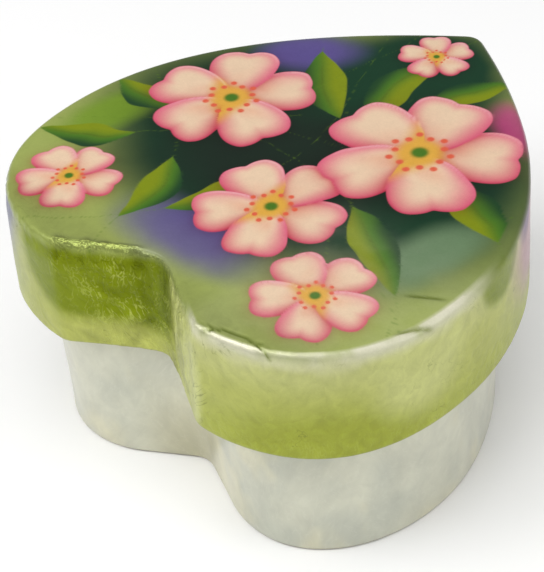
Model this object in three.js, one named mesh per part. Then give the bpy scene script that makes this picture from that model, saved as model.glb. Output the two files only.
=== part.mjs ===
// A heart-shaped shell box: a hollow base and a lift-off cap lid, both laid up in thin shell
// laminate. The heart's cleft faces -Y and its tip +Y. The box stands on its flat underside,
// with the origin at the middle of that underside.
import * as THREE from "three";

// Driving dimensions, in millimetres and degrees.
const TOTAL_HEIGHT = 71.5;
const SKIRT_BOTTOM = 41.2; // height of the lid's lower edge
const WALL = 3;
const LID_PANEL = 3; // thickness of the lid's flat top
const BASE_FLOOR = 3;
const REST_GAP = 0.3; // between the base's rim and the lid that rests on it
const SKIRT_FLARE = 0.9; // how far the skirt leans out from its top edge to its lower edge
const SKIRT_EDGE = 0.6; // easing of the skirt's lower edge
const PANEL_EDGE = 2.5; // radius of the rounded edge round the lid's top
const BASE_DRAFT = 0.6; // how far the base leans in from the skirt down to the floor
const BASE_EDGE = 1.2; // easing of the base's bottom edge
const BASE_TURN = 2.7; // how far the base is turned under the lid, which fits it loosely
const RIM_EDGE = 0.5; // easing of the base's upper rim

// Half of a heart, from the bottom of the cleft out round the lobe and back to the tip:
// cleft and corner are where the straight cleft wall would meet the middle line and the lobe,
// widest is where the side runs parallel to Y, and tip is where the two flanks would meet.
// An ease is the length rounded off on each side of such a meeting, and a reach is how far
// a curve keeps its direction at its start and at its end.
const LID_HEART = {
  cleft: -54.2,
  cleftEase: 5.2,
  corner: [23.1, -67.3],
  cornerEase: 1.5,
  lobeLean: -0.7,
  lobeReach: [10.6, 41.4],
  widest: [65, -22],
  flankReach: [22.3, 62.2],
  tip: 68.5,
  tipHalfAngle: 56.4,
  tipEase: 4,
};
const BASE_HEART = {
  cleft: -48.5,
  cleftEase: 3.5,
  corner: [21.7, -60.3],
  cornerEase: 7.5,
  lobeLean: 1.3,
  lobeReach: [14.2, 24.9],
  widest: [58.1, -20.3],
  flankReach: [16.2, 54],
  tip: 61.4,
  tipHalfAngle: 57,
  tipEase: 3.5,
};

// Straight steps that each stretch of the outline is drawn with.
const STEPS = { cleft: 3, wall: 3, corner: 4, lobe: 15, flank: 13, tip: 3 };
const EDGE_STEPS = 4;

function direction(degrees) {
  const angle = THREE.MathUtils.degToRad(degrees);
  return new THREE.Vector2(Math.cos(angle), Math.sin(angle));
}

function along(start, heading, distance) {
  return heading.clone().multiplyScalar(distance).add(start);
}

// The right half of the outline, as its curves in order and the steps of each.
function halfHeartCurves(heart) {
  const cleft = new THREE.Vector2(0, heart.cleft);
  const corner = new THREE.Vector2(...heart.corner);
  const widest = new THREE.Vector2(...heart.widest);
  const tip = new THREE.Vector2(0, heart.tip);
  const wallHeading = corner.clone().sub(cleft).normalize();
  const lobeHeading = direction(heart.lobeLean);
  const flankHeading = direction(heart.tipHalfAngle - 90);
  const up = new THREE.Vector2(0, 1);

  const wallStart = along(cleft, wallHeading, heart.cleftEase);
  const wallEnd = along(corner, wallHeading, -heart.cornerEase);
  const lobeStart = along(corner, lobeHeading, heart.cornerEase);
  const flankEnd = along(tip, flankHeading, heart.tipEase);
  // Half of each rounded end on the middle line: it leaves the line level.
  const cleftMiddle = new THREE.Vector2(0, (cleft.y + wallStart.y) / 2);
  const cleftTurn = new THREE.Vector2(wallStart.x / 2, cleftMiddle.y);
  const tipMiddle = new THREE.Vector2(0, (tip.y + flankEnd.y) / 2);
  const tipTurn = new THREE.Vector2(flankEnd.x / 2, tipMiddle.y);
  return [
    [new THREE.QuadraticBezierCurve(cleftMiddle, cleftTurn, wallStart), STEPS.cleft],
    [new THREE.LineCurve(wallStart, wallEnd), STEPS.wall],
    [new THREE.QuadraticBezierCurve(wallEnd, corner, lobeStart), STEPS.corner],
    [
      new THREE.CubicBezierCurve(
        lobeStart,
        along(lobeStart, lobeHeading, heart.lobeReach[0]),
        along(widest, up, -heart.lobeReach[1]),
        widest,
      ),
      STEPS.lobe,
    ],
    [
      new THREE.CubicBezierCurve(
        widest,
        along(widest, up, heart.flankReach[0]),
        along(flankEnd, flankHeading, heart.flankReach[1]),
        flankEnd,
      ),
      STEPS.flank,
    ],
    [new THREE.QuadraticBezierCurve(flankEnd, tipTurn, tipMiddle), STEPS.tip],
  ];
}

// The whole outline, counter-clockwise from the bottom of the cleft.
function heartLoop(heart) {
  const right = [];
  for (const [curve, steps] of halfHeartCurves(heart)) {
    right.push(...curve.getPoints(steps).slice(right.length ? 1 : 0));
  }
  const left = right.slice(1, -1).reverse();
  return [...right, ...left.map((point) => new THREE.Vector2(-point.x, point.y))];
}

function inwardNormal(from, to) {
  return new THREE.Vector2(from.y - to.y, to.x - from.x).normalize();
}

// The loop moved inwards by the same distance all round, or outwards where it is negative.
function insetLoop(loop, distance) {
  return loop.map((point, i) => {
    const before = inwardNormal(loop.at(i - 1), point);
    const after = inwardNormal(point, loop[(i + 1) % loop.length]);
    const middle = before.clone().add(after).normalize();
    return along(point, middle, distance / middle.dot(after));
  });
}

// A closed body through rings of equal point count, each an inset of one loop at a height:
// it starts with a flat face that looks down and ends with one that looks up.
function ringBody(loop, rings) {
  const count = loop.length;
  const positions = [];
  for (const [inset, height] of rings) {
    for (const point of insetLoop(loop, inset)) {
      positions.push(point.x, point.y, height);
    }
  }
  const indices = [];
  const cap = THREE.ShapeUtils.triangulateShape(loop, []);
  const last = (rings.length - 1) * count;
  for (const [a, b, c] of cap) {
    indices.push(a, c, b);
    indices.push(last + a, last + b, last + c);
  }
  for (let ring = 0; ring < rings.length - 1; ring += 1) {
    for (let i = 0; i < count; i += 1) {
      const a = ring * count + i;
      const b = ring * count + ((i + 1) % count);
      indices.push(a, b, b + count);
      indices.push(a, b + count, a + count);
    }
  }
  const geometry = new THREE.BufferGeometry();
  geometry.setAttribute("position", new THREE.Float32BufferAttribute(positions, 3));
  geometry.setIndex(indices);
  geometry.computeVertexNormals();
  return geometry;
}

// Quarter turn of an edge of the given radius, as [inset, height] rings. The turn starts on
// the wall, at the inset wallInset, and ends level with the flat at flatHeight.
function roundedEdge(wallInset, flatHeight, radius, side) {
  const rings = [];
  for (let step = 0; step <= EDGE_STEPS; step += 1) {
    const turn = direction((90 * step) / EDGE_STEPS);
    rings.push([
      wallInset + radius * (1 - turn.x),
      flatHeight - side * radius * (1 - turn.y),
    ]);
  }
  return rings;
}

function baseGeometry() {
  const rim = TOTAL_HEIGHT - LID_PANEL - REST_GAP;
  const bottomEdge = roundedEdge(BASE_DRAFT, 0, BASE_EDGE, -1).reverse();
  const middle = new THREE.Vector2(0, 0);
  const turn = THREE.MathUtils.degToRad(BASE_TURN);
  const loop = heartLoop(BASE_HEART).map((point) => point.rotateAround(middle, turn));
  return ringBody(loop, [
    ...bottomEdge,
    [0, SKIRT_BOTTOM],
    [0, rim - RIM_EDGE],
    [RIM_EDGE, rim],
    [WALL - RIM_EDGE, rim],
    [WALL, rim - RIM_EDGE],
    [WALL, SKIRT_BOTTOM],
    [WALL + BASE_DRAFT, BASE_FLOOR],
  ]);
}

function lidGeometry() {
  const ceiling = TOTAL_HEIGHT - LID_PANEL;
  return ringBody(heartLoop(LID_HEART), [
    [WALL, ceiling],
    [WALL - SKIRT_FLARE, SKIRT_BOTTOM + SKIRT_EDGE],
    [WALL - SKIRT_FLARE - SKIRT_EDGE, SKIRT_BOTTOM],
    [SKIRT_EDGE - SKIRT_FLARE, SKIRT_BOTTOM],
    [-SKIRT_FLARE, SKIRT_BOTTOM + SKIRT_EDGE],
    ...roundedEdge(0, TOTAL_HEIGHT, PANEL_EDGE, 1),
  ]);
}

function shellMaterial(color, roughness) {
  return new THREE.MeshStandardMaterial({ color, roughness, metalness: 0 });
}

function namedMesh(name, geometry, material) {
  const mesh = new THREE.Mesh(geometry, material);
  mesh.name = name;
  return mesh;
}

const group = new THREE.Group();
group.add(namedMesh("base", baseGeometry(), shellMaterial(0xcfcfc0, 0.3)));
group.add(namedMesh("lid", lidGeometry(), shellMaterial(0xb9bf7c, 0.25)));

export default group;
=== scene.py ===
"""A heart-shaped shell box: a pearly base and a cap lid painted with a spray of wild roses."""

import math

import bpy
import numpy as np
from mathutils import Matrix, Vector


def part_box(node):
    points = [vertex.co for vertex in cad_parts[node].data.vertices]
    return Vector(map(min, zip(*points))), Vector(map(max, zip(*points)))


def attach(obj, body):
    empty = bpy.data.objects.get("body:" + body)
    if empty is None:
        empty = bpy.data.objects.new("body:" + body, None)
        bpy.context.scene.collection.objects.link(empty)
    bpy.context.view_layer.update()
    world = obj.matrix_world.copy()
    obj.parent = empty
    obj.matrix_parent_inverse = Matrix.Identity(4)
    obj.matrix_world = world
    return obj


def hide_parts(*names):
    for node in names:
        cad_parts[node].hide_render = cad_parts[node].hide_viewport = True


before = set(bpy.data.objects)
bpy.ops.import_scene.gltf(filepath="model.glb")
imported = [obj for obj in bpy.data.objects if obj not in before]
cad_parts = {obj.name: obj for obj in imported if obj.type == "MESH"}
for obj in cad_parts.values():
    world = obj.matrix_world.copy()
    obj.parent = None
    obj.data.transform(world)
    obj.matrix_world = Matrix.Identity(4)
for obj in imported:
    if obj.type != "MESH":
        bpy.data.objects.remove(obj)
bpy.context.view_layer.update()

# ---------------------------------------------------------------- sizes, in drawing millimetres

LID_HEART = {
    "cleft": -54.2, "cleft_ease": 5.2,
    "corner": (23.1, -67.3), "corner_ease": 1.5,
    "lobe_lean": -0.7, "lobe_reach": (10.6, 41.4),
    "widest": (65.0, -22.0), "flank_reach": (22.3, 62.2),
    "tip": 68.5, "tip_half_angle": 56.4, "tip_ease": 4.0,
}
BASE_HEART = {
    "cleft": -48.5, "cleft_ease": 3.5,
    "corner": (21.7, -60.3), "corner_ease": 7.5,
    "lobe_lean": 1.3, "lobe_reach": (14.2, 24.9),
    "widest": (58.1, -20.3), "flank_reach": (16.2, 54.0),
    "tip": 61.4, "tip_half_angle": 57.0, "tip_ease": 3.5,
}
WALL = 3.0
SKIRT_FLARE = 0.9
SKIRT_EDGE = 0.6
PANEL_EDGE = 2.5
CEILING_EDGE = 1.0
BASE_DRAFT = 0.6
BASE_EDGE = 1.2
BASE_TURN = 2.7  # degrees that the base is turned under the loose lid
FLOOR_EDGE = 1.0
RIM_EDGE = 0.5
SKIN = 0.05  # the visible surface stays this far inside the solid's

lid_low, lid_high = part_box("lid")
_, base_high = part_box("base")
MM = (lid_high.x - lid_low.x) / (2 * (LID_HEART["widest"][0] + SKIRT_FLARE))  # metres each
TOP = lid_high.z / MM
SKIRT_BOTTOM = lid_low.z / MM
RIM = base_high.z / MM
CEILING = TOP - WALL
BASE_FLOOR = WALL


# ---------------------------------------------------------------- small maths

def smooth(low, high, value):
    """From 0 at low to 1 at high, eased at both ends; low may be the larger."""
    t = np.clip((value - low) / (high - low), 0, 1)
    return t * t * (3 - 2 * t)


def mix(under, over, amount):
    """From one colour to another, by an amount for each point."""
    return under + (over - under) * np.asarray(amount)[..., None]


def direction(degrees):
    """The unit vector at an angle from X towards Y."""
    return np.array([math.cos(math.radians(degrees)), math.sin(math.radians(degrees))])


def turned(x, y, centre, degrees):
    """The place of a point along and across a heading, from a centre."""
    heading = direction(degrees)
    dx, dy = x - centre[0], y - centre[1]
    return dx * heading[0] + dy * heading[1], dy * heading[0] - dx * heading[1]


def lattice(i, j, k, seed):
    """A value from 0 to 1 for each whole-number place, the same on every run."""
    n = (i * 374761393 + j * 668265263 + k * 2147483647 + seed * 1274126177) & 0xFFFFFFFF
    n = ((n ^ (n >> 13)) * 1274126177) & 0xFFFFFFFF
    return ((n ^ (n >> 16)) & 0xFFFF) / 65535.0


def noise(x, y, z, seed):
    """Smooth value noise from 0 to 1, with a cell of one unit."""
    i, j, k = (np.floor(v).astype(np.int64) for v in (x, y, z))
    u, v, w = x - i, y - j, z - k
    u, v, w = (t * t * (3 - 2 * t) for t in (u, v, w))
    total = 0
    for a in (0, 1):
        for b in (0, 1):
            for c in (0, 1):
                share = (u if a else 1 - u) * (v if b else 1 - v) * (w if c else 1 - w)
                total = total + share * lattice(i + a, j + b, k + c, seed)
    return total


def clouds(x, y, z, seed, octaves=3):
    """Layers of noise from 0 to 1, each half as wide and half as strong as the one before."""
    total, weight, size = 0, 0, 1.0
    for octave in range(octaves):
        total = total + noise(x / size, y / size, z / size, seed + octave) * size
        weight += size
        size *= 0.5
    return total / weight


def folds(x, y, z, seed):
    """Crumpled ridges from 0 to 1, sharp along the middle values of the clouds."""
    return 1 - np.abs(2 * clouds(x, y, z, seed) - 1)


# ---------------------------------------------------------------- outlines

EASE_STEPS = 40
WALL_STEPS = 200
CURVE_STEPS = 900


def quadratic(a, b, c, steps):
    t = np.linspace(0, 1, steps, endpoint=False)[:, None]
    return (1 - t) ** 2 * a + 2 * t * (1 - t) * b + t * t * c


def cubic(a, b, c, d, steps):
    t = np.linspace(0, 1, steps, endpoint=False)[:, None]
    return (1 - t) ** 3 * a + 3 * t * (1 - t) ** 2 * b + 3 * t * t * (1 - t) * c + t ** 3 * d


def right_half(heart):
    """The right half of a heart, from the bottom of the cleft to the tip."""
    up = np.array([0.0, 1.0])
    cleft, tip = up * heart["cleft"], up * heart["tip"]
    corner, widest = np.array(heart["corner"]), np.array(heart["widest"])
    wall = (corner - cleft) / np.linalg.norm(corner - cleft)
    lobe = direction(heart["lobe_lean"])
    flank = direction(heart["tip_half_angle"] - 90)
    wall_start = cleft + wall * heart["cleft_ease"]
    wall_end = corner - wall * heart["corner_ease"]
    lobe_start = corner + lobe * heart["corner_ease"]
    flank_end = tip + flank * heart["tip_ease"]
    cleft_middle = (cleft + wall_start * (0, 1)) * (0, 0.5)
    tip_middle = (tip + flank_end * (0, 1)) * (0, 0.5)
    cleft_handle = np.array([wall_start[0] / 2, cleft_middle[1]])
    tip_handle = np.array([flank_end[0] / 2, tip_middle[1]])
    return np.vstack([
        quadratic(cleft_middle, cleft_handle, wall_start, EASE_STEPS),
        quadratic(wall_start, (wall_start + wall_end) / 2, wall_end, WALL_STEPS),
        quadratic(wall_end, corner, lobe_start, EASE_STEPS),
        cubic(lobe_start, lobe_start + lobe * heart["lobe_reach"][0],
              widest - up * heart["lobe_reach"][1], widest, CURVE_STEPS),
        cubic(widest, widest + up * heart["flank_reach"][0],
              flank_end + flank * heart["flank_reach"][1], flank_end, CURVE_STEPS),
        quadratic(flank_end, tip_handle, tip_middle, EASE_STEPS),
        [tip_middle],
    ])


def heart_loop(heart, count):
    """Points evenly spaced round a heart, counter-clockwise from the bottom of the cleft."""
    right = right_half(heart)
    loop = np.vstack([right, right[-2:0:-1] * (-1, 1)])
    closed = np.vstack([loop, loop[:1]])
    run = np.concatenate([[0], np.cumsum(np.linalg.norm(np.diff(closed, axis=0), axis=1))])
    places = np.linspace(0, run[-1], count, endpoint=False)
    return np.stack([np.interp(places, run, closed[:, k]) for k in (0, 1)], axis=1)


def inward(loop):
    """The unit normals of a counter-clockwise loop, pointing into it."""
    ahead = np.roll(loop, -1, axis=0) - np.roll(loop, 1, axis=0)
    ahead /= np.linalg.norm(ahead, axis=1)[:, None]
    return np.stack([-ahead[:, 1], ahead[:, 0]], axis=1)


# ---------------------------------------------------------------- bodies made of rings

THINNING = 0.62  # a ring is halved while its points are closer than this share of the loop's


def strip(first, first_count, second, second_count):
    """Triangles between two neighbouring rings, where one may have twice the other's points."""
    i = np.arange(min(first_count, second_count))
    j = (i + 1) % len(i)
    if first_count == second_count:
        sides = ((first + i, second + i, second + j), (first + i, second + j, first + j))
    elif second_count > first_count:
        middle = second + 2 * i + 1
        sides = (
            (first + i, second + 2 * i, middle),
            (first + i, middle, first + j),
            (first + j, middle, second + 2 * j),
        )
    else:
        middle = first + 2 * i + 1
        sides = (
            (first + 2 * i, second + i, middle),
            (middle, second + i, second + j),
            (middle, second + j, first + 2 * j),
        )
    return [np.stack(side, axis=1) for side in sides]


def ring_body(rings, start, end):
    """Points and triangles of a closed body through rings, from one middle point to another."""
    counts = [len(ring) for ring in rings]
    starts = 1 + np.concatenate([[0], np.cumsum(counts)])
    points = np.vstack([[start], *rings, [end]])
    i = np.arange(counts[0])
    triangles = [np.stack([0 * i, 1 + i, 1 + (i + 1) % len(i)], axis=1)]
    for k in range(len(rings) - 1):
        triangles += strip(starts[k], counts[k], starts[k + 1], counts[k + 1])
    i = np.arange(counts[-1])
    edge = starts[-2]
    triangles.append(np.stack([edge + i, 0 * i + starts[-1], edge + (i + 1) % len(i)], axis=1))
    return points, np.vstack(triangles)


def split_edges(points, triangles, wants_split):
    """Halve the edges that want it, and cut the triangles on them so that all still meet."""
    sides = np.concatenate([triangles[:, (0, 1)], triangles[:, (1, 2)], triangles[:, (2, 0)]])
    sides = np.sort(sides)
    keys, inverse = np.unique(sides[:, 0] * len(points) + sides[:, 1], return_inverse=True)
    ends = np.stack([keys // len(points), keys % len(points)], axis=1)
    split = wants_split(ends)
    middle = np.where(split, len(points) + np.cumsum(split) - 1, -1)[inverse].reshape(3, -1).T
    kept = [triangles[(middle < 0).all(axis=1)]]
    for turn in range(3):
        corner, cut = np.roll(triangles, -turn, axis=1), np.roll(middle, -turn, axis=1)
        one = (cut[:, 0] >= 0) & (cut[:, 1] < 0) & (cut[:, 2] < 0)
        (a, b, c), m = corner[one].T, cut[one, 0]
        kept += [np.stack([a, m, c], axis=1), np.stack([m, b, c], axis=1)]
        two = (cut[:, 0] >= 0) & (cut[:, 1] >= 0) & (cut[:, 2] < 0)
        (a, b, c), (m, n) = corner[two].T, cut[two, :2].T
        kept += [np.stack(side, axis=1) for side in ((m, b, n), (a, m, n), (a, n, c))]
    three = (middle >= 0).all(axis=1)
    (a, b, c), (m, n, o) = triangles[three].T, middle[three].T
    kept += [np.stack(side, axis=1) for side in ((a, m, o), (m, b, n), (o, n, c), (m, n, o))]
    return np.vstack([points, points[ends[split]].mean(axis=1)]), np.vstack(kept)


def at_height(points, z):
    return np.column_stack([points, np.broadcast_to(z, len(points))])


def disc_rings(loop, z, centre, steps, fewest):
    """Rings from near a middle point out to a loop, with fewer points towards the middle."""
    rings = []
    for k in range(1, steps):
        share = k / steps
        count = len(loop)
        while count % 2 == 0 and count > fewest and share < THINNING * count / len(loop):
            count //= 2
        ring = centre + (loop[:: len(loop) // count] - centre) * share
        rings.append(at_height(ring, z))
    return rings


def make_piece(name, points, triangles, material):
    mesh = bpy.data.meshes.new(name)
    mesh.from_pydata((points * MM).tolist(), [], triangles.tolist())
    mesh.shade_smooth()
    mesh.materials.append(material)
    piece = bpy.data.objects.new(name, mesh)
    bpy.context.scene.collection.objects.link(piece)
    return piece


def give_colour(piece, name, colours):
    opaque = np.column_stack([colours, np.ones(len(colours))])
    attribute = piece.data.attributes.new(name, "FLOAT_COLOR", "POINT")
    attribute.data.foreach_set("color", opaque.ravel())


def give_value(piece, name, values):
    attribute = piece.data.attributes.new(name, "FLOAT", "POINT")
    attribute.data.foreach_set("value", np.ascontiguousarray(values, dtype=float))


# ---------------------------------------------------------------- the painted picture

def paint(red, green, blue):
    """A linear colour from its 0 to 255 screen values."""
    v = np.array([red, green, blue]) / 255
    return np.where(v <= 0.04045, v / 12.92, ((v + 0.055) / 1.055) ** 2.4)


CREAM = paint(224, 196, 166)
PEACH = paint(220, 154, 126)
BLUSH = paint(216, 98, 130)
ROSE = paint(198, 46, 92)
CRIMSON = paint(178, 34, 70)
CORAL = paint(212, 92, 66)
OCHRE = paint(214, 162, 66)
GLOW = paint(238, 218, 208)
NIGHT = paint(26, 30, 27)
PINE = paint(20, 56, 36)
LEAF = paint(70, 112, 32)
LIME = paint(112, 144, 34)
DARK_LEAF = paint(74, 92, 24)
OLIVE = paint(122, 136, 20)
PALE = paint(158, 170, 92)
MIST = paint(104, 130, 96)
VIOLET = paint(92, 78, 140)
MAGENTA = paint(190, 60, 130)
DEEPEN = np.array([0.72, 0.16, 0.26])  # what a petal's shadow leaves of the colour below it

SPRAY_LIGHT = direction(115)  # the painted light comes from this side of the picture
RUFFLES = 4


def ruffles(x, y):
    """Soft sideways shifts that give the petals' outlines wandering edges."""
    def shift(seed, axis):
        broad = noise(x / 17, y / 17, seed, seed=40 + axis) - 0.5
        fine = noise(x / 5, y / 5, seed, seed=50 + axis) - 0.5
        return 5.0 * broad + 1.5 * fine

    return [(shift(seed, 0), shift(seed, 1)) for seed in range(RUFFLES)]


def petal_depth(x, y, petal):
    """How far a point is inside a petal's rim, its place in the petal, and how lit the rim is."""
    along, across = turned(x, y, petal["middle"], petal["heading"])
    u = along / petal["length"]
    width = petal["width"] * (1 + petal["taper"] * np.clip(u, -1, 1))
    v = across / width
    power = petal["fullness"]
    reach = (np.abs(u) ** power + np.abs(v) ** power) ** (1 / power) + 1e-9
    angle = np.arctan2(v, u)
    rim = 1.0
    for at, height, spread in petal["points"]:
        off = np.abs((angle - math.radians(at) + math.pi) % math.tau - math.pi)
        rim = rim + height * np.exp(-np.sqrt(off * off + 0.006) / math.radians(spread))
    slope_u = np.sign(u) * np.abs(u / reach) ** (power - 1) / petal["length"]
    slope_v = np.sign(v) * np.abs(v / reach) ** (power - 1) / width
    slope = np.hypot(slope_u, slope_v)
    heading = direction(petal["heading"])
    out_x = slope_u * heading[0] - slope_v * heading[1]
    out_y = slope_u * heading[1] + slope_v * heading[0]
    lit = (out_x * SPRAY_LIGHT[0] + out_y * SPRAY_LIGHT[1]) / slope
    return (rim - reach) / slope, u, v, lit


def petal_colour(shape, petal, depth, u, v, lit, shade):
    """A petal's own colour: blush rim, cream body, warm middle, deep root, and lit edge lines."""
    rim = petal["rim"] * (0.7 + 0.6 * shade)
    own = mix(np.broadcast_to(BLUSH, shape), petal["rim_colour"], 0.85 * shade)
    own = mix(own, petal["inner"], smooth(-0.15, 1, depth / rim) ** 0.8)
    warm = smooth(petal["warm_from"], petal["warm_to"], u - 0.5 * petal["side"] * v)
    own = mix(own, petal["warm"], petal["warmth"] * warm * smooth(0.5, 1.6, depth / rim))
    cheek = smooth(0.15, 1.0, v * petal["side"] + 0.25 * u)
    own = mix(own, BLUSH, petal["cheek"] * cheek)
    root = smooth(petal["root_from"], petal["root_to"], u + 0.35 * petal["side"] * v)
    own = mix(own, petal["root"], root)
    bright_line = 0.35 * np.exp(-((depth - 0.4) / 0.4) ** 2)
    own = mix(own, GLOW, bright_line * smooth(0.2, 1.0, lit))
    dark_line = 0.4 * np.exp(-((depth - 0.2) / 0.5) ** 2)
    return mix(own, CRIMSON, dark_line * smooth(-0.1, -0.9, lit))


def lay_petal(colour, bloom, x, y, petal):
    """One airbrushed petal over what is there, with its shadow round it."""
    depth, u, v, lit = petal_depth(x, y, petal)
    shade = smooth(0.8, -0.5, lit)
    fall = np.exp(-np.clip(-depth, 0, None) / petal["shadow"]) * (petal["cast"] + 0.35 * shade)
    colour = mix(colour, colour * DEEPEN, fall * (0.45 + 0.55 * bloom))
    own = petal_colour(colour.shape, petal, depth, u, v, lit, shade)
    cover = smooth(-0.2, 0.2, depth)
    return mix(colour, own, cover), np.maximum(bloom, cover)


def petal_at(middle, heading, length, width, **more):
    petal = {
        "middle": middle, "heading": heading, "length": length, "width": width,
        "taper": 0.1, "fullness": 2.2, "points": (), "side": 1,
        "shadow": 3.6, "cast": 0.45,
        "rim": 9.0, "rim_colour": ROSE, "inner": CREAM, "cheek": 0.6,
        "warm": PEACH, "warmth": 0.5, "warm_from": 0.6, "warm_to": -0.2,
        "root": ROSE, "root_from": 0.42, "root_to": -0.3,
    }
    petal.update(more)
    return petal


def lay_cloud(colour, x, y, middle, heading, length, width, tint, soft, strength=1.0):
    """A sprayed oval of colour, with a harder or softer edge."""
    along, across = turned(x, y, middle, heading)
    reach = np.hypot(along / length, across / width)
    return mix(colour, tint, strength * smooth(1 + soft, 1 - 0.6 * soft, reach))


def lay_leaf(colour, x, y, middle, heading, length, width):
    """A pointed leaf with a crisp edge: dark green along one side, olive along the other."""
    along, across = turned(x, y, middle, heading)
    u = along / length
    v = (across + 0.12 * length * (u * u - 0.4)) / width
    depth = width * (np.clip(1 - np.abs(u) ** 1.7, 0, 1) - np.abs(v))
    own = mix(np.broadcast_to(OLIVE, colour.shape), LEAF, smooth(-0.6, 0.3, v))
    own = mix(own, PINE, 0.9 * smooth(0.1, 0.9, v))
    own = mix(own, DARK_LEAF, 0.5 * np.exp(-np.abs(v) / 0.06) * smooth(1, 0.3, np.abs(u)))
    return mix(colour, own, smooth(-0.25, 0.25, depth))


FOLIAGE = (
    # cloud: middle, heading, half length and width, colour, softness, strength
    # leaf: middle, heading, half length and width
    # the deep ground under the spray, and sprayed colours beside it
    (lay_cloud, (0, 2), 0, 58, 44, PINE, 0.35),
    (lay_cloud, (0, 40), 90, 26, 22, PINE, 0.4),
    (lay_cloud, (2, -4), 35, 34, 18, NIGHT, 0.8, 0.7),
    (lay_cloud, (0, -44), 0, 15, 8, VIOLET, 0.8, 0.8),
    (lay_cloud, (-30, 32), 40, 11, 7, VIOLET, 0.7, 0.9),
    (lay_cloud, (50, -14), 80, 12, 6, MIST, 0.7, 0.9),
    (lay_cloud, (34, 38), -45, 9, 5, MAGENTA, 0.7, 0.7),
    (lay_cloud, (-52, -20), 80, 12, 6, LIME, 0.7, 0.8),
    # leaves standing out from between the blossoms
    (lay_leaf, (0, 33), 100, 17, 6),
    (lay_leaf, (-16, 24), 140, 15, 6),
    (lay_leaf, (46, 4), -20, 14, 6),
    (lay_leaf, (38, -20), -35, 16, 6),
    (lay_leaf, (-6, -28), -110, 14, 5),
    (lay_leaf, (-50, -8), 185, 12, 5),
    (lay_leaf, (-20, -36), -70, 13, 5),
    (lay_leaf, (-50, -30), -150, 12, 5),
    (lay_leaf, (16, 44), 70, 12, 5),
)
GROUND = PALE * 0.9


def lay_foliage(x, y, shifts):
    """The leaves and sprayed colours that the blossoms lie on."""
    x, y = x + 0.7 * shifts[1][0], y + 0.7 * shifts[1][1]
    colour = np.broadcast_to(GROUND, x.shape + (3,))
    for lay, *figure in FOLIAGE:
        colour = lay(colour, x, y, *figure)
    return colour


BLOSSOMS = (
    # middle, heading of the first petal, reach from the middle to a petal's end
    ((-2, 52), 62, 10),
    ((-40, -46), 20, 13),
    ((38, -42), 80, 15),
    ((-32, 4), 48, 22),
    ((8, -24), 10, 19),
    ((22, 15), 30, 25),
)
PETALS = 5
STAMENS = 14


def blossom_petal(middle, heading, reach, side):
    """One notched petal of an open wild rose, blush at its rim and warm at its root."""
    return petal_at(
        np.array(middle) + direction(heading) * (0.54 * reach), heading, 0.48 * reach, 0.4 * reach,
        taper=0.3, fullness=2.3, side=side,
        points=((0, -0.2, 12), (34, 0.05, 14), (-34, 0.05, 14)),
        shadow=0.1 * reach, rim=0.26 * reach, cheek=0.35,
        warm_from=0.2, warm_to=-0.6, root=OCHRE, root_from=-0.35, root_to=-0.95,
    )


def lay_heart(colour, x, y, middle, reach):
    """A blossom's ochre middle with a ring of stamens and a green eye."""
    colour = lay_cloud(colour, x, y, middle, 0, 0.2 * reach, 0.2 * reach, OCHRE, 0.5)
    tip = 0.035 * reach
    for k in range(STAMENS):
        out = direction(360 * k / STAMENS) * reach * (0.25 + 0.06 * (k % 2))
        colour = lay_cloud(colour, x, y, np.array(middle) + out, 0, tip, tip, CORAL, 0.5)
    return lay_cloud(colour, x, y, middle, 0, 0.08 * reach, 0.08 * reach, LEAF, 0.5)


def lay_spray(colour, x, y, shifts):
    """Open wild roses scattered over the leaves, the small ones first."""
    bloom = np.zeros(x.shape)
    for middle, first, reach in BLOSSOMS:
        sway = 0.015 * reach  # smaller blossoms have finer edges
        for k in range(PETALS):
            dx, dy = shifts[k % RUFFLES]
            petal = blossom_petal(middle, first + 360 * k / PETALS, reach, 1 - 2 * (k % 2))
            colour, bloom = lay_petal(colour, bloom, x + dx * sway, y + dy * sway, petal)
        colour = lay_heart(colour, x, y, middle, reach)
    return colour


# ---------------------------------------------------------------- the shell's colours

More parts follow.
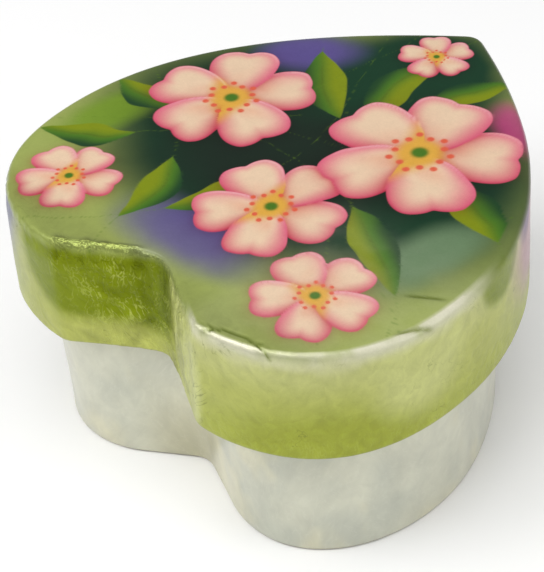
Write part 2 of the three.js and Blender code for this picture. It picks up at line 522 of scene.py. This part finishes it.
SHELL_TOP = paint(184, 187, 122)
SHELL = paint(172, 177, 92)
SHELL_HEM = paint(162, 169, 72)
PALE_SHELL = paint(188, 192, 122)
LIME_SHELL = paint(152, 160, 56)
OLIVE_SHELL = paint(120, 134, 4)
DARK_SHELL = paint(110, 124, 0)
MOSS_SHELL = paint(62, 84, 26)
SAGE_SHELL = paint(146, 153, 92)
BLUE_SHELL = paint(112, 114, 134)
PINK_SHELL = paint(176, 138, 146)
PLUM_SHELL = paint(112, 84, 116)
ROSE_SHELL = paint(184, 112, 150)
# painted highlight: the pale colour laid in patches on the front lobe's rounded rim
RIM_HIGHLIGHT_PAINT = paint(220, 216, 196)
INSIDE = paint(206, 204, 188)
SKIRT_PATCHES = (
    # heading round the lid, drop from 0 at the top to 1 at the hem, half widths, softness, colour
    (-145, 0.45, 24, 0.70, 0.4, SAGE_SHELL),
    (-165, 0.05, 14, 0.40, 0.4, PINK_SHELL),
    (-131, 0.05, 10, 0.50, 0.4, BLUE_SHELL),
    (-102, 0.00, 20, 0.85, 0.12, OLIVE_SHELL),
    (-91, 0.45, 7, 0.50, 0.4, DARK_SHELL),
    (-104, 1.00, 25, 0.28, 0.4, SHELL),
    (-76, 0.45, 7, 0.95, 0.15, PALE_SHELL),
    (-46, 0.95, 20, 0.45, 0.4, LIME_SHELL),
    (-29, 0.30, 11, 0.50, 0.4, PALE_SHELL),
    (-5, 0.00, 10, 0.40, 0.15, OLIVE_SHELL),
    (24, 0.35, 22, 0.50, 0.4, PINK_SHELL),
    (13, 0.00, 7, 0.25, 0.4, PLUM_SHELL),
    (48, 0.00, 25, 0.40, 0.4, MOSS_SHELL),
    (66, 0.45, 16, 0.40, 0.4, PLUM_SHELL),
    (90, 0.10, 16, 0.50, 0.6, ROSE_SHELL),
    (128, 0.00, 26, 0.45, 0.5, MOSS_SHELL),
)

PEARL = paint(206, 206, 187)
PEARL_GREY = paint(188, 190, 175)
PEARL_CREAM = paint(226, 220, 186)
PEARL_YELLOW = paint(190, 182, 142)
FOOT_SHADE = paint(168, 160, 132)


def skirt_colour(x, y, drop):
    """The pearly side's colour, by the place round the lid and from 0 at its top to 1 at its hem."""
    heading = np.degrees(np.arctan2(y, x)) + 3 * (clouds(x / 6, y / 6, drop * 4, seed=77) - 0.5)
    colour = mix(np.broadcast_to(SHELL_TOP, x.shape + (3,)), SHELL, smooth(0.1, 0.5, drop))
    colour = mix(colour, SHELL_HEM, smooth(0.5, 0.95, drop))
    for middle, height, wide, tall, soft, tint in SKIRT_PATCHES:
        off = (heading - middle + 180) % 360 - 180
        reach = np.hypot(off / wide, (drop - height) / tall)
        colour = mix(colour, tint, smooth(0.9 + soft, 0.9 - soft, reach))
    return colour


def painted_rim_highlight(x, y, z):
    """How much painted highlight the front lobe's rounded rim carries, in patches, from 0 to 1."""
    drop = TOP - z
    patchy = smooth(0.2, 0.6, clouds(x / 6, y / 6, z / 5, seed=37))
    band = smooth(0.0, 0.3, drop) * smooth(7, 1.5, drop + 2 * patchy)
    return band * smooth(16, 24, x) * smooth(-5, -26, y) * (0.35 + 0.6 * patchy)


def lid_paint(points, inside):
    """The painted colour of each point: picture on top, pearly sides, painted rim highlight, plain
    inside.
    """
    x, y, z = points.T
    shifts = ruffles(x, y)
    colour = lay_spray(lay_foliage(x, y, shifts), x, y, shifts)
    drop = TOP - z
    wander = 2.0 * (clouds(x / 9, y / 9, z / 9, seed=31) - 0.5)
    side = skirt_colour(x, y, drop / (TOP - SKIRT_BOTTOM))
    colour = mix(colour, side, smooth(0.6, 3.4, drop + wander))
    # painted highlight in pale patches on the front lobe's rim
    colour = mix(colour, RIM_HIGHLIGHT_PAINT, painted_rim_highlight(x, y, z))
    return np.where(inside[:, None], INSIDE, colour)


def base_paint(points):
    """Pearly off-white, yellowed in the cleft and darker along the bottom edge."""
    x, y, z = points.T
    colour = np.broadcast_to(PEARL, points.shape)
    colour = mix(colour, PEARL_GREY, smooth(0.35, 0.7, clouds(x / 16, y / 16, z / 22, seed=61)))
    cream = smooth(0.5, 0.75, clouds(x / 11, y / 11, z / 14, seed=67))
    colour = mix(colour, PEARL_CREAM, 0.45 * cream)
    cleft = smooth(17, 3, np.hypot(x, y + 50)) * smooth(34, 4, z)
    colour = mix(colour, PEARL_YELLOW, 0.5 * cleft)
    return mix(colour, FOOT_SHADE, 0.5 * smooth(1.2, 0.2, z))


# ---------------------------------------------------------------- relief of the shell

FOLD_DEPTH = 0.5
LUMP_DEPTH = 0.35
DENT_DEPTH = 0.6
WRINKLE_DEPTH = 0.34
CREASE_DEPTH = 0.35
CREASE_BEND = 0.006
# painted shade: the pressed creases are darkened where shade falls in them
CREASE_SHADE_TINT = (0.35, 0.4, 0.15)  # what a crease leaves of the colour there
CREASES = (
    # middle, heading, half length and width of each line
    ((33.0, -62.6), 12, 11, 0.3),
    ((28.5, -64.4), 34, 4, 0.3),
    ((40.0, -62.4), -4, 6, 0.25),
    ((62.5, -36.0), 62, 7, 0.4),
    ((57.5, -27.0), 30, 6, 0.5),
)


def folded_rim(x, y, drop):
    """Where the rim of the cleft's left wall is crumpled, from 0 to 1."""
    corner_x, corner_y = LID_HEART["corner"]
    heading = 180 + math.degrees(math.atan2(LID_HEART["cleft"] - corner_y, corner_x))
    along, across = turned(x, y, (0, LID_HEART["cleft"]), heading)
    edge = -across - 2.0 * (noise(x / 3, y / 3, drop / 3, seed=93) - 0.5)
    return smooth(4.5, 2.5, edge) * smooth(2, 6, along) * smooth(31, 25, along) * smooth(12, 3, drop)


def crinkles(x, y, z):
    """How crumpled the shell is, from 0 to 1: most in the cleft and along its left wall's rim."""
    drop = TOP - z
    cleft = smooth(27, 11, np.hypot(x, y + 58)) * smooth(-40, -50, y)
    hem = 0.18 * smooth(22, 27, drop)
    return np.maximum(folded_rim(x, y, drop), np.maximum(cleft, hem) * smooth(0.2, 1.5, drop))


def skirt_relief(x, y, z):
    """How far the lid's side is pressed in from its outermost place, in drawing millimetres."""
    drop = TOP - z
    crumples = crinkles(x, y, z) * folds(x / 2.6, y / 2.6, z / 10, seed=3)
    lumps = clouds(x / 13, y / 13, z / 16, seed=11) * smooth(0, 3, drop)
    dents = clouds(x / 4, y / 4, z / 4, seed=17) * smooth(-45, -58, y) * smooth(6, 2, drop)
    wrinkles = folds(x / 1.8, y / 1.8, z / 3.5, seed=29) * smooth(-40, -56, y)
    wrinkles = wrinkles * smooth(7, 3, drop) * smooth(0, 1, drop)
    press = FOLD_DEPTH * crumples + LUMP_DEPTH * lumps
    return press + DENT_DEPTH * dents + WRINKLE_DEPTH * wrinkles


def crease(x, y):
    """Lines pressed into the rim of the front lobe, from 0 to 1."""
    total = 0
    for middle, heading, length, width in CREASES:
        along, across = turned(x, y, middle, heading)
        bent = across + CREASE_BEND * along ** 2
        total = total + np.exp(-((bent / width) ** 2)) * smooth(length, 0.4 * length, np.abs(along))
    return np.minimum(total, 1)


# ---------------------------------------------------------------- the lid

LID_COLUMNS = 704
LID_FEWEST = 44
PANEL_MIDDLE = (0.0, -10.0)
PICTURE_STEPS = 84
EDGE_STEPS = 5
SKIRT_ROWS = 40
CEILING_STEPS = 12
COLOUR_PASSES = 2
COLOUR_STEP = 0.10  # neighbouring points whose colours differ by more than this are parted
PICTURE_DEPTH = 0.5  # the picture reaches this far down from the top


def lid_outside(outline, normal):
    """Rings of the lid's outside, from the picture's middle over the rounded rim to the hem."""
    def side(inset, z):
        place = outline + normal * inset
        return at_height(place + normal * skirt_relief(*place.T, z)[:, None], z)

    edge = outline + normal * PANEL_EDGE
    rings = disc_rings(edge, TOP - SKIN, np.array(PANEL_MIDDLE), PICTURE_STEPS, LID_FEWEST)
    rings.append(at_height(edge, TOP - SKIN))
    for step in range(1, EDGE_STEPS + 1):
        turn = math.radians(90 * step / EDGE_STEPS)
        inset = PANEL_EDGE - (PANEL_EDGE - SKIN) * math.sin(turn)
        rings.append(side(inset, TOP - SKIN - PANEL_EDGE * (1 - math.cos(turn))))
    low, high = SKIRT_BOTTOM + SKIRT_EDGE, TOP - SKIN - PANEL_EDGE
    for row in range(1, SKIRT_ROWS + 1):
        share = row / SKIRT_ROWS
        rings.append(side(SKIN - SKIRT_FLARE * share, high + (low - high) * share))
    for turn in (math.pi / 4, math.pi / 2):
        inset = SKIN - SKIRT_FLARE + SKIRT_EDGE * (1 - math.cos(turn))
        rings.append(side(inset, low - SKIRT_EDGE * math.sin(turn)))
    return rings


def lid_inside(outline, normal):
    """Rings of the lid's plain inside, from the hem up to the ceiling and its middle."""
    loop, turned_in = outline[::2], normal[::2]
    rings = [at_height(loop + turned_in * (WALL - SKIRT_FLARE - SKIRT_EDGE), SKIRT_BOTTOM)]
    loop, turned_in = outline[::4], normal[::4]
    rings.append(at_height(loop + turned_in * (WALL - SKIRT_FLARE), SKIRT_BOTTOM + SKIRT_EDGE))
    rings.append(at_height(loop + turned_in * WALL, CEILING - CEILING_EDGE))
    ceiling = loop + turned_in * (WALL + CEILING_EDGE)
    rings.append(at_height(ceiling, CEILING))
    middle = np.array(PANEL_MIDDLE)
    return rings + disc_rings(ceiling, CEILING, middle, CEILING_STEPS, LID_FEWEST)[::-1]


def painted_edges(points, inside, colours):
    """A test for which edges, given by their ends, lie in the picture and join unlike colours."""
    tone = np.sqrt(colours)

    def wants_split(ends):
        step = np.abs(tone[ends[:, 0]] - tone[ends[:, 1]]).max(axis=1)
        in_picture = (points[ends[:, 0], 2] > TOP - PICTURE_DEPTH) & ~inside[ends].any(axis=1)
        return (step > COLOUR_STEP) & in_picture

    return wants_split


def lid_mesh():
    """The lid's points and triangles, which points are inside it, and their painted colours."""
    outline = heart_loop(LID_HEART, LID_COLUMNS)
    normal = inward(outline)
    outside = lid_outside(outline, normal)
    rings = outside + lid_inside(outline, normal)
    points, triangles = ring_body(rings, (*PANEL_MIDDLE, TOP - SKIN), (*PANEL_MIDDLE, CEILING))
    inside = np.arange(len(points)) >= 1 + sum(len(ring) for ring in outside)
    colours = lid_paint(points, inside)
    for _ in range(COLOUR_PASSES):
        whole = len(points)
        wants_split = painted_edges(points, inside, colours)
        points, triangles = split_edges(points, triangles, wants_split)
        inside = np.concatenate([inside, np.zeros(len(points) - whole, bool)])
        colours = np.vstack([colours, lid_paint(points[whole:], inside[whole:])])
    return points, triangles, inside, colours


def build_lid():
    points, triangles, inside, colours = lid_mesh()
    x, y, z = points.T
    groove = crease(x, y) * smooth(TOP - 3, TOP - 1, z) * ~inside
    z = z - CREASE_DEPTH * groove
    # painted shade along the pressed creases
    colours = mix(colours, colours * CREASE_SHADE_TINT, 0.9 * groove)
    crumpled = crinkles(x, y, z)
    ground = 0.6 * smooth(-50, -62, y)
    pearl = np.maximum(smooth(0.5, 3.5, TOP - z), np.maximum(crumpled, ground))
    piece = make_piece("painted_lid", np.column_stack([x, y, z]), triangles, lid_material())
    give_colour(piece, "paint", colours)
    give_value(piece, "pearl", np.where(inside, 1, pearl))
    give_value(piece, "crinkle", np.where(inside, 0, crumpled))
    return piece


# ---------------------------------------------------------------- the base

BASE_COLUMNS = 512
BASE_FEWEST = 64
BASE_ROWS = 40
FLOOR_STEPS = 10
BASE_LUMP_DEPTH = 0.3
BASE_MIDDLE = (0.0, -8.0)


def base_outside(outline, normal):
    """Rings of the base's outside, from the middle of the underside up to the rim."""
    def side(inset, z):
        place = outline + normal * inset
        lumps = clouds(place[:, 0] / 15, place[:, 1] / 15, z / 18, seed=23) * smooth(0, 4, z)
        return at_height(place + normal * BASE_LUMP_DEPTH * lumps[:, None], z)

    foot = outline + normal * (BASE_DRAFT + BASE_EDGE)
    rings = disc_rings(foot, 0.0, np.array(BASE_MIDDLE), FLOOR_STEPS, BASE_FEWEST)
    for turn in (0, 30, 60, 90):
        inset = BASE_DRAFT + BASE_EDGE * (1 - math.sin(math.radians(turn)))
        rings.append(side(inset, BASE_EDGE * (1 - math.cos(math.radians(turn)))))
    for row in range(1, BASE_ROWS + 1):
        z = BASE_EDGE + (RIM - RIM_EDGE - BASE_EDGE) * row / BASE_ROWS
        rings.append(side(SKIN + BASE_DRAFT * smooth(SKIRT_BOTTOM, 0, z), z))
    rings.append(at_height(outline + normal * RIM_EDGE, RIM - SKIN))
    return rings


def base_inside(loop, turned_in):
    """Rings of the base's inside, from the rim down to the floor and its middle."""
    floor_edge = loop + turned_in * (WALL + BASE_DRAFT + FLOOR_EDGE)
    rings = [
        at_height(loop + turned_in * (WALL - RIM_EDGE), RIM - SKIN),
        at_height(loop + turned_in * WALL, RIM - RIM_EDGE),
        at_height(loop + turned_in * WALL, SKIRT_BOTTOM),
        at_height(loop + turned_in * (WALL + BASE_DRAFT), BASE_FLOOR + FLOOR_EDGE),
        at_height(floor_edge, BASE_FLOOR),
    ]
    middle = np.array(BASE_MIDDLE)
    return rings + disc_rings(floor_edge, BASE_FLOOR, middle, FLOOR_STEPS, BASE_FEWEST)[::-1]


def build_base():
    outline = heart_loop(BASE_HEART, BASE_COLUMNS)
    outline = np.stack(turned(*outline.T, (0, 0), -BASE_TURN), axis=1)
    normal = inward(outline)
    rings = base_outside(outline, normal) + base_inside(outline[::2], normal[::2])
    ends = (*BASE_MIDDLE, BASE_FLOOR), (*BASE_MIDDLE, 0.0)
    points, triangles = ring_body(rings[::-1], *ends)
    piece = make_piece("pearl_base", points, triangles, base_material())
    give_colour(piece, "paint", base_paint(points))
    return piece


# ---------------------------------------------------------------- materials

# pale threads of shell with painted glints on the folds
THREAD_AND_GLINT_TINT = (*paint(200, 208, 108), 1)
SCRATCH_TINT = (*paint(96, 104, 40), 1)
PEARL_THREAD_TINT = (*paint(236, 236, 224), 1)
SPECK_TINT = (*paint(110, 100, 76), 1)
FLOOR_WHITE = (0.97, 0.97, 0.97, 1)
FLOOR_GREY = (0.95, 0.95, 0.95, 1)


def set_inputs(tree, node, inputs):
    """Link each input of a node to a socket, or set it to a value."""
    for key, value in inputs.items():
        if isinstance(value, bpy.types.NodeSocket):
            tree.links.new(value, node.inputs[key])
        else:
            node.inputs[key].default_value = value


def add_node(tree, kind, inputs=None, **settings):
    node = tree.nodes.new(kind)
    for key, value in settings.items():
        setattr(node, key, value)
    set_inputs(tree, node, inputs or {})
    return node


def maths(tree, operation, first, second=0.0, third=0.0):
    values = {0: first, 1: second, 2: third}
    return add_node(tree, "ShaderNodeMath", values, operation=operation).outputs[0]


def times(tree, first, second):
    return maths(tree, "MULTIPLY", first, second)


def scaled(tree, value, by, plus):
    return maths(tree, "MULTIPLY_ADD", value, by, plus)


def centred(tree, value):
    return maths(tree, "SUBTRACT", value, 0.5)


def between(tree, value, low, high):
    """From 0 at low to 1 at high."""
    inputs = {"Value": value, "From Min": low, "From Max": high}
    return add_node(tree, "ShaderNodeMapRange", inputs).outputs[0]


def blended(tree, amount, under, over):
    inputs = {0: amount, 6: under, 7: over}
    return add_node(tree, "ShaderNodeMix", inputs, data_type="RGBA").outputs[2]


def shaded(tree, colour, shade):
    """A colour made lighter or darker by a number."""
    inputs = {0: colour, 3: shade}
    return add_node(tree, "ShaderNodeVectorMath", inputs, operation="SCALE").outputs[0]


def speckle(tree, place, scale, detail=2.0, distortion=0.0):
    inputs = {"Vector": place, "Scale": scale, "Detail": detail, "Distortion": distortion}
    return add_node(tree, "ShaderNodeTexNoise", inputs).outputs["Fac"]


def stretched(tree, place, stretch):
    """Coordinates drawn out up the sides."""
    inputs = {"Vector": place, "Scale": (1.0, 1.0, 1.0 / stretch)}
    return add_node(tree, "ShaderNodeMapping", inputs).outputs[0]


def leaning(tree, place, patch, lean):
    """Coordinates that lean another way in each patch of shell."""
    cells = add_node(tree, "ShaderNodeTexVoronoi", {"Vector": place, "Scale": patch})
    inputs = {0: cells.outputs["Color"], 1: (lean,) * 3, 2: (-lean / 2,) * 3}
    turn = add_node(tree, "ShaderNodeVectorMath", inputs, operation="MULTIPLY_ADD").outputs[0]
    return add_node(tree, "ShaderNodeMapping", {"Vector": place, "Rotation": turn}).outputs[0]


def fibres(tree, place, scale, sharp):
    """Thin thread lines along the shell, from 0 to 1."""
    value = speckle(tree, place, scale, detail=2.0, distortion=0.2)
    ridge = maths(tree, "ABSOLUTE", centred(tree, value))
    return between(tree, ridge, sharp, 0.0)


def bumped(tree, height, strength, distance, below=None):
    inputs = {"Height": height, "Strength": strength, "Distance": distance}
    if below is not None:
        inputs["Normal"] = below
    return add_node(tree, "ShaderNodeBump", inputs).outputs[0]


def object_place(tree):
    return add_node(tree, "ShaderNodeTexCoord").outputs["Object"]


def attribute(tree, name, output="Fac"):
    return add_node(tree, "ShaderNodeAttribute", attribute_name=name).outputs[output]


def new_material(name):
    material = bpy.data.materials.new(name)
    material.use_nodes = True
    tree = material.node_tree
    return material, tree, tree.nodes["Principled BSDF"]


def lid_shade(tree, place, pearl, crinkle, silk, lumps):
    """How light the lid is: silk and lumps on the shell, fine grain all over."""
    grain = speckle(tree, place, 2400.0)
    shade = scaled(tree, centred(tree, silk), scaled(tree, pearl, 0.3, 0.12), 1.0)
    shade = scaled(tree, centred(tree, grain), 0.14, shade)
    patches = times(tree, centred(tree, lumps), scaled(tree, crinkle, 0.9, 0.2))
    return scaled(tree, patches, pearl, shade)


def lid_colour(tree, place, pearl, crinkle, shade, lumps, threads):
    """The painted colour, with pale threads and painted glints in the folds, and fine dark
    scratches.
    """
    colour = shaded(tree, attribute(tree, "paint", "Color"), shade)
    # pale threads of shell and painted glints, strongest in the folds
    glint = times(tree, threads, scaled(tree, crinkle, 0.5, 0.06))
    glint = times(tree, glint, between(tree, lumps, 0.38, 0.6))
    colour = blended(tree, times(tree, glint, pearl), colour, THREAD_AND_GLINT_TINT)
    along_fibres = stretched(tree, leaning(tree, place, patch=70.0, lean=2.6), 5.0)
    scratches = fibres(tree, along_fibres, 330.0, sharp=0.012)
    worn = between(tree, speckle(tree, place, 95.0), 0.56, 0.64)
    scratches = times(tree, times(tree, scratches, worn), 0.5)
    return blended(tree, times(tree, scratches, pearl), colour, SCRATCH_TINT)


def lid_normal(tree, place, pearl, crinkle, silk, lumps, threads):
    """Broad waves, folds, raised threads and the silk's fine unevenness, one over the other."""
    folded = times(tree, lumps, scaled(tree, crinkle, 0.9, 0.1))
    raised = times(tree, threads, scaled(tree, crinkle, 0.9, 0.06))
    uneven = times(tree, pearl, scaled(tree, crinkle, 2.4, 1.0))
    normal = bumped(tree, speckle(tree, place, 60.0), 0.2, 0.001)
    normal = bumped(tree, times(tree, folded, pearl), 0.8, 0.0012, normal)
    normal = bumped(tree, times(tree, raised, pearl), 0.45, 0.00025, normal)
    return bumped(tree, times(tree, silk, uneven), 0.25, 0.0005, normal)


def lid_material():
    material, tree, shader = new_material("painted_shell_lacquer")
    place = object_place(tree)
    pearl, crinkle = attribute(tree, "pearl"), attribute(tree, "crinkle")
    facets = stretched(tree, leaning(tree, place, patch=130.0, lean=1.1), 4.0)
    threads = fibres(tree, facets, 680.0, sharp=0.045)
    strands = stretched(tree, leaning(tree, place, patch=60.0, lean=2.4), 2.0)
    silk = speckle(tree, strands, 420.0, detail=4.0, distortion=0.6)
    lumps = speckle(tree, place, 140.0, detail=3.0, distortion=0.5)
    shade = lid_shade(tree, place, pearl, crinkle, silk, lumps)
    normal = lid_normal(tree, place, pearl, crinkle, silk, lumps, threads)
    set_inputs(tree, shader, {
        "Base Color": lid_colour(tree, place, pearl, crinkle, shade, lumps, threads),
        "Metallic": times(tree, pearl, scaled(tree, crinkle, 0.2, 0.45)),
        "Roughness": scaled(tree, pearl, 0.08, 0.3),
        "Specular IOR Level": 0.1,
        "Coat Weight": scaled(tree, crinkle, -0.18, 0.25),
        "Coat Roughness": 0.07,
        "Normal": normal,
        "Coat Normal": normal,
    })
    return material


def base_specks(tree, place):
    """A few small round specks, from 0 to 1."""
    cells = add_node(tree, "ShaderNodeTexVoronoi", {"Vector": place, "Scale": 110.0})
    spot = between(tree, cells.outputs["Distance"], 0.055, 0.035)
    pick = add_node(tree, "ShaderNodeSeparateColor", {"Color": cells.outputs["Color"]}).outputs[0]
    return times(tree, spot, between(tree, pick, 0.88, 0.9))


def base_material():
    material, tree, shader = new_material("pearl_shell_lacquer")
    place = object_place(tree)
    clouding = speckle(tree, stretched(tree, place, 1.5), 70.0, detail=4.0, distortion=1.0)
    strands = stretched(tree, leaning(tree, place, patch=50.0, lean=1.6), 3.0)
    silk = speckle(tree, strands, 380.0, detail=4.0, distortion=0.6)
    facets = stretched(tree, leaning(tree, place, patch=80.0, lean=2.0), 4.0)
    threads = fibres(tree, facets, 420.0, sharp=0.02)
    shade = scaled(tree, centred(tree, clouding), 0.4, 1.0)
    shade = scaled(tree, centred(tree, silk), 0.2, shade)
    colour = shaded(tree, attribute(tree, "paint", "Color"), shade)
    colour = blended(tree, times(tree, threads, 0.1), colour, PEARL_THREAD_TINT)
    normal = bumped(tree, clouding, 0.25, 0.0012)
    normal = bumped(tree, silk, 0.2, 0.0003, normal)
    set_inputs(tree, shader, {
        "Base Color": blended(tree, times(tree, base_specks(tree, place), 0.7), colour, SPECK_TINT),
        "Metallic": 0.35,
        "Roughness": scaled(tree, clouding, 0.12, 0.28),
        "Specular IOR Level": 0.3,
        "Coat Weight": 0.35,
        "Coat Roughness": 0.1,
        "Normal": normal,
        "Coat Normal": normal,
    })
    return material


def floor_material():
    material, tree, shader = new_material("pale_floor")
    haze = speckle(tree, object_place(tree), 3.0)
    set_inputs(tree, shader, {
        "Base Color": blended(tree, haze, FLOOR_WHITE, FLOOR_GREY),
        "Roughness": 0.9,
    })
    return material


# ---------------------------------------------------------------- stage, light and camera

VIEW_AZIMUTH = 45.49
VIEW_ELEVATION = 39.93
VIEW_ROLL = -4.30
VIEW_DISTANCE = 426.1
VIEW_AIM = (-2.8, -15.1, 35.0)
VIEW_LENS = 103.3

SOFTBOXES = (
    # name, azimuth, elevation, distance and size in metres, power in watts
    ("key_softbox", -35, 45, 0.9, 0.5, 2.7),
    ("fill_softbox", 110, 30, 1.0, 0.6, 2.6),
    ("glint_lamp", 8, 52, 1.0, 0.3, 1.0),
)
OVERHEAD_PLACE = (20, 78)
OVERHEAD_STRENGTH = 1.5
OVERHEAD_SPREAD = 55  # degrees
STUDIO_STRENGTH = 0.22
FLOOR_SIZE = 30.0  # metres


def away(azimuth, elevation):
    """The unit vector from the object towards a place round it; azimuth 0 is in front, at -Y."""
    a, e = math.radians(azimuth), math.radians(elevation)
    return Vector((math.sin(a) * math.cos(e), -math.cos(a) * math.cos(e), math.sin(e)))


def aim_rotation(toward, roll=0.0):
    look = (-toward).to_track_quat("-Z", "Y").to_matrix().to_4x4()
    return (look @ Matrix.Rotation(math.radians(roll), 4, "Z")).to_euler()


def place_in_scene(name, data, location, rotation):
    placed = bpy.data.objects.new(name, data)
    placed.location = location
    placed.rotation_euler = rotation
    bpy.context.scene.collection.objects.link(placed)
    return placed


def add_camera():
    data = bpy.data.cameras.new("camera")
    data.lens = VIEW_LENS
    toward = away(VIEW_AZIMUTH, VIEW_ELEVATION)
    location = Vector(VIEW_AIM) * MM + toward * VIEW_DISTANCE * MM
    camera = place_in_scene("camera", data, location, aim_rotation(toward, VIEW_ROLL))
    bpy.context.scene.camera = camera


def add_softbox(name, azimuth, elevation, distance, size, power):
    data = bpy.data.lights.new(name, "AREA")
    data.shape = "SQUARE"
    data.size = size
    data.energy = power
    toward = away(azimuth, elevation)
    place_in_scene(name, data, toward * distance, aim_rotation(toward))


def add_overhead_light():
    """A broad light that falls evenly on the whole floor."""
    data = bpy.data.lights.new("overhead_light", "SUN")
    data.energy = OVERHEAD_STRENGTH
    data.angle = math.radians(OVERHEAD_SPREAD)
    toward = away(*OVERHEAD_PLACE)
    place_in_scene("overhead_light", data, toward, aim_rotation(toward))


def add_floor():
    bpy.ops.mesh.primitive_plane_add(size=FLOOR_SIZE)
    floor = bpy.context.object
    floor.name = "floor"
    floor.data.materials.append(floor_material())


def add_studio():
    world = bpy.data.worlds.new("studio")
    world.use_nodes = True
    background = world.node_tree.nodes["Background"]
    background.inputs["Color"].default_value = (1, 1, 1, 1)
    background.inputs["Strength"].default_value = STUDIO_STRENGTH
    bpy.context.scene.world = world
    bpy.context.scene.view_settings.view_transform = "Standard"


# ---------------------------------------------------------------- making it

add_camera()
add_floor()
add_overhead_light()
for softbox in SOFTBOXES:
    add_softbox(*softbox)
add_studio()

lid = build_lid()
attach(lid, "root")
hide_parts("lid")

base = build_base()
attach(base, "root")
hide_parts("base")
